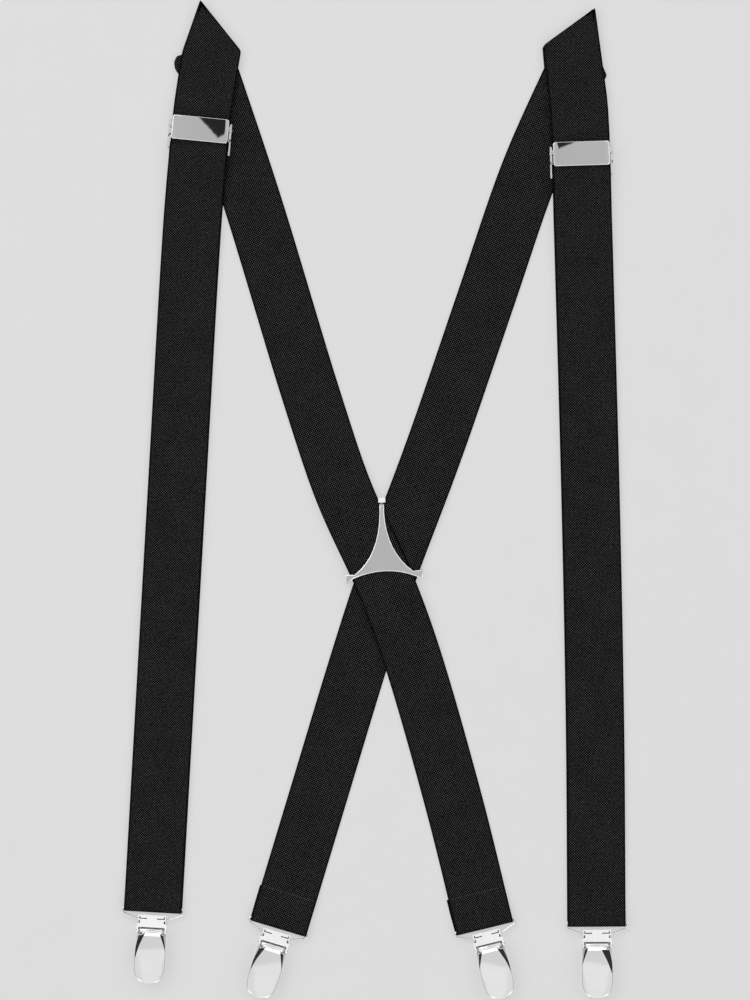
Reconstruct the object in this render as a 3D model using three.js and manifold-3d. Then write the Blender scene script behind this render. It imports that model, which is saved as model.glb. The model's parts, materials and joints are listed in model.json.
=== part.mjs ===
// Elastic X-back suspenders laid flat: two webbing straps folded over at the shoulders, joined by a metal
// crosspatch, with a cam adjuster on each front run and a sprung clip on each of the four ends.
// Millimetres, +Y from the clips to the shoulders, +Z up from the surface that the suspenders lie on.
import * as THREE from "three";
import { mergeVertices } from "three/addons/utils/BufferGeometryUtils.js";
import Module from "manifold-3d";

// ---- Driving dimensions ----
const GAP = 0.3; // between pieces that touch
const WEBBING = { width: 35, thick: 1.0 };
const PITCH = WEBBING.thick + GAP; // from one layer of webbing to the layer above it
const layer = (n) => WEBBING.thick / 2 + n * PITCH; // mid-height of the nth layer, the lowest being 0
const STATION = 12; // longest straight step along a strap

// Each strap lies along a centreline given by a few points in plan, from the shoulder to the clip's loop.
const FRONT_ROUTES = {
  left: [[-92.5, 307.5], [-98.5, 271.5], [-104, 237], [-107, 207], [-110.5, 166], [-120.2, 0], [-134.2, -247]],
  right: [[116, 304.5], [119.4, 268], [123, 235], [125.4, 166], [130.1, 0], [132.8, -140], [133.6, -255.7]],
};
const CROSSING = [5.7, -49.6]; // where the two back runs cross
const BACK_ROUTES = {
  left: [[-102.3, 264], [-74.3, 180], [-37.8, 60], [-18.3, 2.5], CROSSING, [21, -91], [47.2, -182], [65.8, -257]],
  right: [[120, 258], [94, 200], [66.4, 120], [35.5, 30], CROSSING, [-7.8, -91], [-35.4, -182], [-58, -257]],
};
// The diagonal crease at each shoulder runs from the tip down to the inner corner. Between the tip and the
// brim, the webbing's outer edge leans in to the crease.
const CREASES = {
  left: { tip: [-105.6, 301.5], corner: [-80.8, 270.5], brim: [-116.6, 270] },
  right: { tip: [132.6, 296.7], corner: [102, 274.5], brim: [137.3, 262] },
};
// Outline of the folded layers behind the front run at each shoulder.
const FOLDS = {
  left: [[-104.8, 298.5], [-83, 271.6], [-84, 257], [-93, 254], [-118.2, 255.6], [-121, 260], [-121.5, 264],
    [-120, 267.6], [-116.5, 268.6]],
  right: [[131.9, 294], [100.8, 273], [102, 259], [120, 252], [138, 252.5], [139.8, 256], [137, 262.5]],
};
const ADJUSTER_AT = { left: 85.3, right: 96.4 }; // distance from the top of the front route

const JAW_END = { reach: 1.5, share: 0.7 }; // how far, and how much of its width, each jaw's rounded end keeps
const MARGIN = 1; // by which a cutting tool runs past what it cuts
const CLIP = {
  barHeight: 2.1, // both bars of the loop
  loop: { halfWidth: 19, side: 1.2, bar: 1.2, corner: 3.3, neck: 10.2, lowerBar: 6.3 },
  plate: { thick: 0.9, start: 8.5, shoulder: [9.5, 10.5], halfWidth: 8.9, straight: 34, end: 43.5 },
  tab: { width: 4.8, offset: 4.8, wrap: 0.45 * Math.PI }, // the hooks over the loop's lower bar
  ear: { thick: 0.9, end: 14.9, height: 7.3, crown: 1.2 },
  bridge: { start: 3.4, brow: 6.8, browWidth: 8.4, end: 10.8, bottom: 5.9, top: 6.7, halfWidth: 7.2 },
  slot: { inner: 2.9, outer: 7.7, from: 4.3, to: 5.9, width: 0.6 }, // the L-shaped pair in the bridge's brow
  leverPin: { at: 12.9, height: 6.0, radius: 0.6, reach: 9.4 },
  jawPivot: { at: 11.0, height: 3.8 },
  jaw: {
    bottom: 3.4,
    top: 4.2,
    start: 8.2,
    neck: 7.4,
    shoulder: [15.4, 16.4],
    halfWidth: 8.3,
    straight: 33,
    end: 42.5,
  },
  pad: { start: 20, shoulder: [20.5, 21.5], end: 41.5, neck: 6.4, halfWidth: 7.4, thick: 0.8 },
  lever: {
    start: 14,
    end: 44.7,
    neck: 7,
    shoulder: [16, 24],
    halfWidth: 9.1,
    straight: 34,
    bottom: 4.6,
    skin: 0.9,
    lift: 1, // by which the hollow underneath runs out below the rim
    knuckleTop: 7.7,
    rise: [21, 9.2], // controls of the crown's curve, as distance and height
    crest: [29, 9.1],
    fall: [38.7, 9],
    rim: 1.2, // depth of the thumb end
  },
};
CLIP.tab.radius = CLIP.barHeight - CLIP.plate.thick / 2;

const ADJUSTER = {
  ear: { inner: 18.1, thick: 0.9, top: 6.8 },
  base: { from: -4.5, to: 6, bottom: 1.3, thick: 0.8 },
  prong: { ahead: 1.8, above: 1.4 }, // how far each ear reaches round the bar's end
  bar: { at: 12.5, height: layer(2), radius: 0.5 },
  pin: { at: -0.4, height: 5.6, radius: 0.6, proud: 0.4 },
  cover: { halfLength: 7.25, halfWidth: 17, bottom: 6.6, thick: 0.8, lip: 5.1, lipAt: 6.25, corner: 1.6 },
  lug: { inner: 12, outer: 15, wall: 0.6 }, // the cover's eyes round its pin
};
const RUNNING = GAP; // clearance of a pin in its hole

const CROSSPATCH = {
  thick: 0.8,
  frontBottom: 3.7,
  neck: { x: 3.9, half: 1.45, top: -2.9, low: -8 },
  // The back plate's top comes up between the straps as a narrow stem and is folded down over them.
  tongue: { half: 2.1, stem: 1.2, top: 1, bottom: -1.8, wall: 0.8 },
  corners: { left: [-18, -45.4], right: [28.9, -42] },
  waist: { left: [2.3, -34], right: [7, -31.5], hem: [6.1, -39.5] }, // controls of its three hollow edges
  arm: { left: 5.4, right: 6, drop: 1 }, // each corner beyond the hollow side, and the right one's slope
  hem: { left: [5, -2.4], right: [-4.6, -4.2] }, // ends of the lower edge, from the corners
  tab: { thick: 1.5, length: 5.4 },
  inset: 0.3, // by which the back plate is smaller
};
const FINISH = {
  webbing: { color: 0x222224, roughness: 0.9, metalness: 0 },
  chrome: { color: 0xd8dadd, roughness: 0.12, metalness: 1 },
  steel: { color: 0xb4b6b9, roughness: 0.3, metalness: 1 },
  pad: { color: 0x1a1a1b, roughness: 0.6, metalness: 0 },
};

// ---- Solids ----
const wasm = await Module();
wasm.setup();

function solid(geometry) {
  const bare = geometry.clone();
  bare.deleteAttribute("normal");
  bare.deleteAttribute("uv");
  const merged = mergeVertices(bare, 1e-4);
  return new wasm.Manifold(
    new wasm.Mesh({
      numProp: 3,
      vertProperties: merged.attributes.position.array,
      triVerts: new Uint32Array(merged.index.array),
    }),
  );
}

function geometryOf(body) {
  const mesh = body.getMesh();
  const geometry = new THREE.BufferGeometry();
  geometry.setAttribute("position", new THREE.BufferAttribute(mesh.vertProperties, 3));
  geometry.setIndex(new THREE.BufferAttribute(mesh.triVerts, 1));
  geometry.computeVertexNormals();
  return geometry;
}

const joined = (...geometries) => geometryOf(geometries.map(solid).reduce((all, next) => all.add(next)));
const cut = (from, ...tools) =>
  geometryOf(tools.map(solid).reduce((left, tool) => left.subtract(tool), solid(from)));
const common = (a, b) => geometryOf(solid(a).intersect(solid(b)));

const outline = (points) => new THREE.Shape(points.map(([x, y]) => new THREE.Vector2(x, y)));

// A shape drawn in plan, standing from bottom to top.
function slab(shape, bottom, top, curveSegments = 8) {
  const geometry = new THREE.ExtrudeGeometry(shape, {
    depth: top - bottom,
    bevelEnabled: false,
    curveSegments,
  });
  return geometry.translate(0, 0, bottom);
}

// A shape drawn in side view, with x along the strap and y up, given a width across the strap.
function sideSlab(shape, from, to, curveSegments = 8) {
  const geometry = new THREE.ExtrudeGeometry(shape, { depth: to - from, bevelEnabled: false, curveSegments });
  return geometry.rotateX(Math.PI / 2).translate(0, to, 0);
}

// A rod across the strap.
function rod(at, height, radius, from, to, segments = 16) {
  const geometry = new THREE.CylinderGeometry(radius, radius, to - from, segments);
  return geometry.translate(at, (from + to) / 2, height);
}

// The two faces of a sheet of even thickness seen from its edge, each as points along a centreline.
function sheetFaces(centreline, thick) {
  const points = centreline.filter((point, i) => !i || point.distanceTo(centreline[i - 1]) > 1e-6);
  const faces = [[], []];
  points.forEach((point, i) => {
    const before = points[Math.max(i - 1, 0)];
    const after = points[Math.min(i + 1, points.length - 1)];
    const into = point.clone().sub(before).normalize();
    const out = after.clone().sub(point).normalize();
    const along = into.clone().add(out).normalize();
    const isEnd = !into.lengthSq() || !out.lengthSq();
    const mitre = isEnd ? 1 : 1 / Math.max(along.dot(out), 0.5);
    const normal = new THREE.Vector2(-along.y, along.x).multiplyScalar((thick / 2) * mitre);
    faces[0].push(point.clone().add(normal));
    faces[1].push(point.clone().sub(normal));
  });
  return faces;
}

function sheetOutline(centreline, thick) {
  const [left, right] = sheetFaces(centreline, thick);
  return new THREE.Shape([...left, ...right.toReversed()]);
}

// ---- Webbing ----
class Route {
  constructor(points) {
    const knots = points.map(([x, y]) => new THREE.Vector3(x, y, 0));
    this.curve = new THREE.CatmullRomCurve3(knots, false, "centripetal");
    this.curve.arcLengthDivisions = 600;
    this.length = this.curve.getLength();
  }

  // The centreline's point and direction at a distance from its start, going straight on past either end.
  at(distance) {
    const inside = THREE.MathUtils.clamp(distance, 0, this.length);
    const along = this.curve.getTangentAt(inside / this.length);
    const point = this.curve.getPointAt(inside / this.length).addScaledVector(along, distance - inside);
    return { point, along };
  }

  // The distance along the route at which it passes nearest to a point.
  nearest([x, y]) {
    const target = new THREE.Vector3(x, y, 0);
    let best = 0;
    for (let distance = 0; distance <= this.length; distance += 0.5) {
      const nearer = this.at(distance).point.distanceTo(target) < this.at(best).point.distanceTo(target);
      if (nearer) best = distance;
    }
    return best;
  }

  // Bends a straight band, drawn with x along it and y across, onto the route.
  lay(geometry) {
    const position = geometry.getAttribute("position");
    for (let i = 0; i < position.count; i++) {
      const { point, along } = this.at(position.getX(i));
      const across = position.getY(i);
      position.setXY(i, point.x - along.y * across, point.y + along.x * across);
    }
    return geometry;
  }

  // A group whose x runs along the route at a distance, y across it.
  frame(distance) {
    const { point, along } = this.at(distance);
    const group = new THREE.Group();
    group.position.set(point.x, point.y, 0);
    group.rotation.z = Math.atan2(along.y, along.x);
    return group;
  }
}

// The side view of a run of webbing: straight between its levels, with turns of a given radius.
function run(levels) {
  const points = [];
  levels.forEach(([distance, height], i) => {
    if (i) {
      const [lastDistance, lastHeight] = levels[i - 1];
      const steps = Math.ceil(Math.abs(distance - lastDistance) / STATION);
      for (let n = 1; n < steps; n++) {
        const t = n / steps;
        points.push(
          new THREE.Vector2(
            THREE.MathUtils.lerp(lastDistance, distance, t),
            THREE.MathUtils.lerp(lastHeight, height, t),
          ),
        );
      }
    }
    points.push(new THREE.Vector2(distance, height));
  });
  return points;
}

// The turn around a bar, from above it to below it: side 1 goes round its far side and -1 round its near side.
function turn(distance, height, radius, side) {
  const steps = 8;
  const points = [];
  for (let n = 0; n <= steps; n++) {
    const angle = Math.PI * (0.5 - n / steps);
    points.push(
      new THREE.Vector2(distance + side * radius * Math.cos(angle), height + radius * Math.sin(angle)),
    );
  }
  return points;
}

// A straight band of webbing: four corners at each point of its side view, joined by faces no longer than the
// steps between the points, so that the band stays even when it is bent in plan.
function band(points) {
  const [upper, lower] = sheetFaces(points, WEBBING.thick);
  const half = WEBBING.width / 2;
  const position = upper.flatMap((top, i) => {
    const bottom = lower[i];
    return [top.x, half, top.y, top.x, -half, top.y, bottom.x, -half, bottom.y, bottom.x, half, bottom.y];
  });
  const index = [];
  const face = (a, b, c, d) => index.push(a, b, c, a, c, d);
  const last = 4 * (upper.length - 1);
  for (let corner = 0; corner < last; corner += 4) {
    for (let k = 0; k < 4; k++) {
      const next = (k + 1) % 4;
      face(corner + k, corner + next, corner + 4 + next, corner + 4 + k);
    }
  }
  face(0, 3, 2, 1);
  face(last, last + 1, last + 2, last + 3);
  const geometry = new THREE.BufferGeometry();
  geometry.setAttribute("position", new THREE.Float32BufferAttribute(position, 3));
  geometry.setIndex(index);
  return geometry;
}

const LOOP_TURN = CLIP.barHeight - layer(0); // radius of the webbing's middle around the loop's bar
const ADJUSTER_TURN = PITCH; // and around the adjuster's bar

// Heights along a back run, given as distances before and after the crossing.
const BACK_LEVELS = {
  left: [[-80, layer(0)], [-48, 2.9], [24, 2.9], [36, layer(1)], [49, layer(1)], [62, layer(0)]],
  right: [[-74, layer(0)], [-58, 1.6], [6, 1.6], [20, layer(0)]],
};
const HEM = { rise: 30, sewn: 24, end: 20 }; // distances from the loop's bar

function backStrap(side) {
  const route = new Route(BACK_ROUTES[side]);
  const crossing = route.nearest(CROSSING);
  const end = route.length;
  const points = [
    ...run([
      [0, layer(0)],
      ...BACK_LEVELS[side].map(([distance, height]) => [crossing + distance, height]),
      [end - HEM.rise, layer(0)],
      [end - HEM.sewn, layer(1)],
      [end - HEM.sewn / 2, layer(1)],
    ]),
    ...turn(end, CLIP.barHeight, LOOP_TURN, 1),
    ...run([[end - HEM.end / 2, layer(0)], [end - HEM.end, layer(0)]]),
  ];
  const fold = slab(outline(FOLDS[side]), 0, layer(1) + WEBBING.thick / 2);
  return { route, geometry: joined(route.lay(band(points)), fold) };
}

// Heights of the two front layers, as distances below the adjuster's middle.
const OUTER_LEVELS = [[4, 2], [11, 4], [14, 4], [20, 3], [27, 3], [38, 2], [55, 2], [75, 1]];
const RETURN_LEVELS = [[75, 0], [55, 1], [38, 1], [27, 2], [20, 2], [14, 3]];
const FLAP_END = 24;
const LOOP_RISE = 14;
const MEETING = -2; // where the shoulder piece meets the outer run, under the adjuster's cover

// A square that covers everything to one side of a line near its two points.
function beyondLine(from, to, outward) {
  const reach = 50;
  const start = new THREE.Vector2(...from);
  const end = new THREE.Vector2(...to);
  const along = end.clone().sub(start).normalize().multiplyScalar(reach);
  const away = new THREE.Vector2(-along.y, along.x).multiplyScalar(outward);
  const corners = [start.clone().sub(along), end.clone().add(along)];
  return new THREE.Shape([...corners, ...corners.toReversed().map((point) => point.clone().add(away))]);
}

// The front run in three pieces: from the shoulder's crease into the adjuster, on from the adjuster to the
// loop and round its bar, and back underneath to the adjuster's bar, where the end is turned under and sewn.
function frontStrap(side) {
  const route = new Route(FRONT_ROUTES[side]);
  const adjuster = ADJUSTER_AT[side];
  const end = route.length;
  const meeting = adjuster + MEETING;
  const raise = ([distance, level]) => [adjuster + distance, layer(level)];
  const shoulder = run([[0, layer(2)], [meeting - GAP, layer(2)]]);
  const outer = [
    ...run([[meeting, layer(2)], ...OUTER_LEVELS.map(raise), [end - LOOP_RISE, layer(1)]]),
    ...turn(end, CLIP.barHeight, LOOP_TURN, 1),
    new THREE.Vector2(end - GAP, layer(0)),
  ];
  const inner = [
    ...run([[end - 2 * GAP, layer(0)], ...RETURN_LEVELS.map(raise)]),
    ...turn(adjuster + ADJUSTER.bar.at, ADJUSTER.bar.height, ADJUSTER_TURN, -1),
    new THREE.Vector2(adjuster + FLAP_END, layer(1)),
  ];
  const { tip, corner, brim } = CREASES[side];
  const outward = side === "left" ? 1 : -1;
  const trimmings = [beyondLine(tip, corner, outward), beyondLine(brim, tip, outward)];
  return {
    route,
    shoulder: cut(route.lay(band(shoulder)), ...trimmings.map((shape) => slab(shape, layer(1), layer(4)))),
    outer: route.lay(band(outer)),
    inner: route.lay(band(inner)),
  };
}

// ---- Clips ----
// The plan of a jaw: a neck, wider cheeks and a rounded end.
function jawOutline({ start, neck, shoulder, halfWidth, straight, end }) {
  const shape = new THREE.Shape();
  shape.moveTo(start, -neck);
  shape.lineTo(shoulder[0], -neck);
  shape.lineTo(shoulder[1], -halfWidth);
  shape.lineTo(straight, -halfWidth);
  const { reach, share } = JAW_END;
  shape.bezierCurveTo(end - reach, -halfWidth, end, -halfWidth * share, end, 0);
  shape.bezierCurveTo(end, halfWidth * share, end - reach, halfWidth, straight, halfWidth);
  shape.lineTo(shoulder[1], halfWidth);
  shape.lineTo(shoulder[0], neck);
  shape.lineTo(start, neck);
  return shape;
}

function clipLoop() {
  const { halfWidth, side, bar, corner, neck, lowerBar } = CLIP.loop;
  const half = bar / 2;
  const ring = outline([
    [-half, -halfWidth],
    [corner, -halfWidth],
    [lowerBar + half, -neck],
    [lowerBar + half, neck],
    [corner, halfWidth],
    [-half, halfWidth],
  ]);
  const inside = outline([
    [half, -halfWidth + side],
    [corner - half, -halfWidth + side],
    [lowerBar - half, -neck + half],
    [lowerBar - half, neck - half],
    [corner - half, halfWidth - side],
    [half, halfWidth - side],
  ]);
  ring.holes.push(inside);
  return slab(ring, CLIP.barHeight - half, CLIP.barHeight + half);
}

function clipPlate() {
  const { plate, tab, ear, bridge, slot, leverPin, jawPivot, loop } = CLIP;
  const blade = slab(jawOutline({ ...plate, neck: plate.halfWidth }), 0, plate.thick);
  const curl = new THREE.Path();
  curl.moveTo(plate.shoulder[0], plate.thick / 2);
  curl.lineTo(loop.lowerBar, plate.thick / 2);
  curl.absarc(loop.lowerBar, CLIP.barHeight, tab.radius, -Math.PI / 2, tab.wrap, true);
  const tabs = [-1, 1].map((side) =>
    sideSlab(
      sheetOutline(curl.getPoints(6), plate.thick),
      side * tab.offset - tab.width / 2,
      side * tab.offset + tab.width / 2,
    ),
  );
  const earSide = outline([
    [plate.start, 0],
    [ear.end, 0],
    [ear.end, leverPin.height],
    [leverPin.at + ear.crown, ear.height],
    [leverPin.at - ear.crown, ear.height],
    [bridge.end, bridge.top],
    [plate.start, bridge.top],
  ]);
  const ears = [-1, 1].map((side) => {
    const faces = [side * plate.halfWidth, side * (plate.halfWidth - ear.thick)];
    return sideSlab(earSide, Math.min(...faces), Math.max(...faces));
  });
  const roofEdge = [
    [bridge.start, bridge.browWidth],
    [bridge.brow, bridge.browWidth],
    [bridge.brow, bridge.halfWidth],
    [plate.start, bridge.halfWidth],
    [plate.start, plate.halfWidth],
    [bridge.end, plate.halfWidth],
  ];
  const roof = outline([...roofEdge, ...roofEdge.toReversed().map(([x, y]) => [x, -y])]);
  const slots = [-1, 1].map((side) => {
    const shape = outline([
      [slot.to, side * slot.inner],
      [slot.to, side * slot.outer],
      [slot.from, side * slot.outer],
      [slot.from, side * (slot.outer - slot.width)],
      [slot.to - slot.width, side * (slot.outer - slot.width)],
      [slot.to - slot.width, side * slot.inner],
    ]);
    return slab(shape, bridge.bottom - MARGIN, bridge.top + MARGIN);
  });
  const body = joined(blade, ...tabs, ...ears, slab(roof, bridge.bottom, bridge.top));
  const hole = leverPin.radius + RUNNING;
  return cut(
    body,
    ...slots,
    rod(leverPin.at, leverPin.height, hole, -plate.halfWidth - MARGIN, plate.halfWidth + MARGIN),
    rod(jawPivot.at, jawPivot.height, hole, -plate.halfWidth - MARGIN, plate.halfWidth + MARGIN),
  );
}

function clipFrontJaw() {
  const { jaw, jawPivot, leverPin, plate } = CLIP;
  const blade = slab(jawOutline(jaw), jaw.bottom, jaw.top);
  return joined(blade, rod(jawPivot.at, jawPivot.height, leverPin.radius, -plate.halfWidth, plate.halfWidth));
}

function clipPad(bottom) {
  const { pad, jaw } = CLIP;
  return slab(jawOutline({ ...pad, straight: jaw.straight }), bottom, bottom + pad.thick);
}

// The side view of the lever, from the knuckle over the crown to the thumb end.
function leverSide(start, end, bottom, drop) {
  const { knuckleTop, rise, crest, fall, rim } = CLIP.lever;
  const side = new THREE.Shape();
  side.moveTo(start, bottom);
  side.lineTo(end, bottom);
  side.lineTo(end, bottom + rim);
  side.quadraticCurveTo(fall[0] - drop, fall[1] - drop, crest[0], crest[1] - drop);
  side.quadraticCurveTo(rise[0], rise[1] - drop, start, knuckleTop - drop);
  return side;
}

// The lever's whole outside, or the hollow an even distance inside it.
function leverBody(inset) {
  const { lever } = CLIP;
  const start = lever.start + inset;
  const end = lever.end - inset;
  const halfWidth = lever.halfWidth - inset;
  const plan = jawOutline({ ...lever, start, neck: lever.neck - inset, halfWidth, end });
  const side = leverSide(start, end, lever.bottom - (inset ? lever.lift : 0), inset);
  return common(slab(plan, 0, 2 * lever.crest[1]), sideSlab(side, -lever.halfWidth, lever.halfWidth, 6));
}

function clipLever() {
  const { lever, leverPin } = CLIP;
  const knuckle = rod(leverPin.at, leverPin.height, leverPin.height - lever.bottom, -lever.neck, lever.neck);
  const shell = cut(leverBody(0), leverBody(lever.skin));
  return cut(
    joined(shell, knuckle),
    rod(leverPin.at, leverPin.height, leverPin.radius + RUNNING, -lever.neck - MARGIN, lever.neck + MARGIN),
  );
}

function clipLeverPin() {
  const { radius, reach, at, height } = CLIP.leverPin;
  return rod(at, height, radius, -reach, reach);
}

// ---- Adjusters ----
function adjusterFrame() {
  const { ear, base, prong, bar, pin } = ADJUSTER;
  const side = outline([
    [base.from, base.bottom],
    [bar.at + prong.ahead, base.bottom],
    [bar.at + prong.ahead, bar.height + prong.above],
    [base.to, bar.height + prong.above],
    [-base.from, ear.top],
    [base.from, ear.top],
  ]);
  const outer = ear.inner + ear.thick;
  const ears = [
    sideSlab(side, -outer, -ear.inner),
    sideSlab(side, ear.inner, outer),
  ];
  const plate = new THREE.BoxGeometry(base.to - base.from, 2 * outer, base.thick);
  plate.translate((base.to + base.from) / 2, 0, base.bottom + base.thick / 2);
  return cut(
    joined(plate, ...ears),
    rod(pin.at, pin.height, pin.radius + RUNNING, -outer - MARGIN, outer + MARGIN),
    rod(bar.at, bar.height, bar.radius + RUNNING, -outer - MARGIN, outer + MARGIN),
  );
}

function adjusterCover() {
  const { cover, lug, pin } = ADJUSTER;
  const plan = new THREE.Shape();
  const { halfLength: x, halfWidth: y, corner: r } = cover;
  plan.moveTo(-x + r, -y);
  plan.absarc(x - r, -y + r, r, -Math.PI / 2, 0, false);
  plan.absarc(x - r, y - r, r, 0, Math.PI / 2, false);
  plan.absarc(-x + r, y - r, r, Math.PI / 2, Math.PI, false);
  plan.absarc(-x + r, -y + r, r, Math.PI, Math.PI * 1.5, false);
  const plate = slab(plan, cover.bottom, cover.bottom + cover.thick, 4);
  const within = cover.bottom + cover.thick / 2; // height at which the lip and the lugs end, inside the plate
  const lip = new THREE.BoxGeometry(cover.thick, 2 * (y - r), within - cover.lip);
  lip.translate(cover.lipAt, 0, (within + cover.lip) / 2);
  const radius = pin.radius + RUNNING + lug.wall;
  const width = lug.outer - lug.inner;
  const lugs = [-1, 1].map((side) => {
    const middle = (side * (lug.inner + lug.outer)) / 2;
    const web = new THREE.BoxGeometry(2 * radius, width, within - pin.height);
    web.translate(pin.at, middle, (within + pin.height) / 2);
    return joined(web, rod(pin.at, pin.height, radius, middle - width / 2, middle + width / 2));
  });
  return cut(joined(plate, lip, ...lugs), rod(pin.at, pin.height, pin.radius + RUNNING, -y, y));
}

// ---- Crosspatch ----
// The plan of a plate: a neck that flares into two corners, with three hollow edges.
function crosspatchOutline(top, inset) {
  const { neck, corners, waist, arm, hem, tab } = CROSSPATCH;
  const [leftX, leftY] = corners.left;
  const [rightX, rightY] = corners.right;
  const half = neck.half - inset;
  const shape = new THREE.Shape();
  shape.moveTo(neck.x - half, top);
  shape.lineTo(neck.x - half, neck.low);
  shape.quadraticCurveTo(...waist.left, leftX + arm.left, leftY);
  shape.lineTo(leftX + inset, leftY);
  shape.lineTo(leftX + inset, leftY - tab.length);
  shape.lineTo(leftX + tab.thick, leftY - tab.length);
  shape.lineTo(leftX + hem.left[0], leftY + hem.left[1]);
  shape.quadraticCurveTo(...waist.hem, rightX + hem.right[0], rightY + hem.right[1]);
  shape.lineTo(rightX - tab.thick, rightY - tab.length);
  shape.lineTo(rightX - inset, rightY - tab.length);
  shape.lineTo(rightX - inset, rightY);
  shape.lineTo(rightX - arm.right, rightY - arm.drop);
  shape.quadraticCurveTo(...waist.right, neck.x + half, neck.low);
  shape.lineTo(neck.x + half, top);
  return shape;
}

// The front plate, with a tab bent down past the webbing's edges at each lower corner.
function crosspatchFront() {
  const { neck, corners, tab, thick, frontBottom } = CROSSPATCH;
  const plate = slab(crosspatchOutline(neck.top, 0), frontBottom, frontBottom + thick);
  const bottom = thick + GAP;
  const top = frontBottom + thick / 2;
  const tabs = [
    [corners.left[0], corners.left[1]],
    [corners.right[0] - tab.thick, corners.right[1]],
  ].map(([x, y]) => {
    const wall = new THREE.BoxGeometry(tab.thick, tab.length, top - bottom);
    return wall.translate(x + tab.thick / 2, y - tab.length / 2, (top + bottom) / 2);
  });
  return joined(plate, ...tabs);
}

// The back plate, with a tongue that comes up between the two straps and is folded down over them.
function crosspatchBack() {
  const { neck, tongue, thick, frontBottom, inset } = CROSSPATCH;
  const plate = slab(crosspatchOutline(tongue.top, inset), 0, thick);
  const height = frontBottom + thick;
  const wall = new THREE.BoxGeometry(2 * tongue.stem, tongue.wall, height);
  wall.translate(neck.x, tongue.top - tongue.wall / 2, height / 2);
  const flap = new THREE.BoxGeometry(2 * tongue.half, tongue.top - tongue.bottom, thick);
  flap.translate(neck.x, (tongue.top + tongue.bottom) / 2, height - thick / 2);
  return joined(plate, wall, flap);
}

// ---- Assembly ----
const suspenders = new THREE.Group();

function add(parent, name, geometry, finish) {
  const mesh = new THREE.Mesh(geometry, new THREE.MeshStandardMaterial(FINISH[finish]));
  mesh.name = name;
  parent.add(mesh);
}

function addClip(route, name) {
  const clip = route.frame(route.length);
  clip.name = name;
  suspenders.add(clip);
  const { plate, pad, jaw } = CLIP;
  add(clip, name + "_loop", clipLoop(), "chrome");
  add(clip, name + "_back_plate", clipPlate(), "chrome");
  add(clip, name + "_lower_pad", clipPad(plate.thick + GAP), "pad");
  add(clip, name + "_front_jaw", clipFrontJaw(), "steel");
  add(clip, name + "_upper_pad", clipPad(jaw.bottom - GAP - pad.thick), "pad");
  add(clip, name + "_lever", clipLever(), "chrome");
  add(clip, name + "_lever_pin", clipLeverPin(), "steel");
}

function addAdjuster(route, side) {
  const adjuster = route.frame(ADJUSTER_AT[side]);
  const name = side + "_adjuster";
  adjuster.name = name;
  suspenders.add(adjuster);
  const { pin, bar, ear } = ADJUSTER;
  const reach = ear.inner + ear.thick;
  add(adjuster, name + "_frame", adjusterFrame(), "chrome");
  add(adjuster, name + "_bar", rod(bar.at, bar.height, bar.radius, -reach, reach, 12), "steel");
  add(adjuster, name + "_cover", adjusterCover(), "chrome");
  const pinReach = reach + pin.proud;
  add(adjuster, name + "_pin", rod(pin.at, pin.height, pin.radius, -pinReach, pinReach), "steel");
}

for (const [side, tail] of [["left", "right"], ["right", "left"]]) {
  const back = backStrap(side);
  const front = frontStrap(side);
  add(suspenders, side + "_strap_back", back.geometry, "webbing");
  add(suspenders, side + "_strap_shoulder", front.shoulder, "webbing");
  add(suspenders, side + "_strap_front", front.outer, "webbing");
  add(suspenders, side + "_strap_return", front.inner, "webbing");
  addAdjuster(front.route, side);
  addClip(front.route, side + "_front_clip");
  addClip(back.route, tail + "_back_clip");
}
add(suspenders, "crosspatch_front_plate", crosspatchFront(), "chrome");
add(suspenders, "crosspatch_back_plate", crosspatchBack(), "chrome");

// The origin is the middle of the footprint, on the surface underneath.
const box = new THREE.Box3().setFromObject(suspenders);
suspenders.position.set(-(box.min.x + box.max.x) / 2, -(box.min.y + box.max.y) / 2, -box.min.z);

export default suspenders;
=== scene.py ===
# Looks of the elastic X-back suspenders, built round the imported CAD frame. Metres, +Y towards the
# shoulders, +Z up from the surface that the suspenders lie on.
import json
import math

import bmesh
import bpy
import numpy as np
from mathutils import Matrix, Vector
from mathutils.bvhtree import BVHTree


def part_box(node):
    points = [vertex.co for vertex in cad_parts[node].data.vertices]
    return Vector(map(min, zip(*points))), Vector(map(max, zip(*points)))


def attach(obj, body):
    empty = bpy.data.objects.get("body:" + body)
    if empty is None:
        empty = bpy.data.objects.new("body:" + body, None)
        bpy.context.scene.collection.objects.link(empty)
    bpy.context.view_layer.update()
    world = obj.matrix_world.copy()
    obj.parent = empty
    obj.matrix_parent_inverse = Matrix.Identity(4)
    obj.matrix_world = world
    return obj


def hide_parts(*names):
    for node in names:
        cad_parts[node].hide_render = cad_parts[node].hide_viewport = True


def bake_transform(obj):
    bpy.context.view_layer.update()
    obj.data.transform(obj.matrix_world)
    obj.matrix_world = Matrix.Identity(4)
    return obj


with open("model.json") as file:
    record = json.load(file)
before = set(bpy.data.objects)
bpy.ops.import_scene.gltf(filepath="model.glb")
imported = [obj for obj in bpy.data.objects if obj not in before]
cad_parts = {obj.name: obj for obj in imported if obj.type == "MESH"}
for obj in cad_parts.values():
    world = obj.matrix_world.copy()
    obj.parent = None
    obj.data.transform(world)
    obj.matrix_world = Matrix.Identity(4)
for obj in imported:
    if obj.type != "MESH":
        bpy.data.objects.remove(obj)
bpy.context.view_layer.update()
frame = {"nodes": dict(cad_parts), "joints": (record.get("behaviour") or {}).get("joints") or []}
NODES = frame["nodes"]
JOINTS = {joint["name"]: joint for joint in frame["joints"]}
MM = 0.001
UP = Vector((0, 0, 1))

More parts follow.
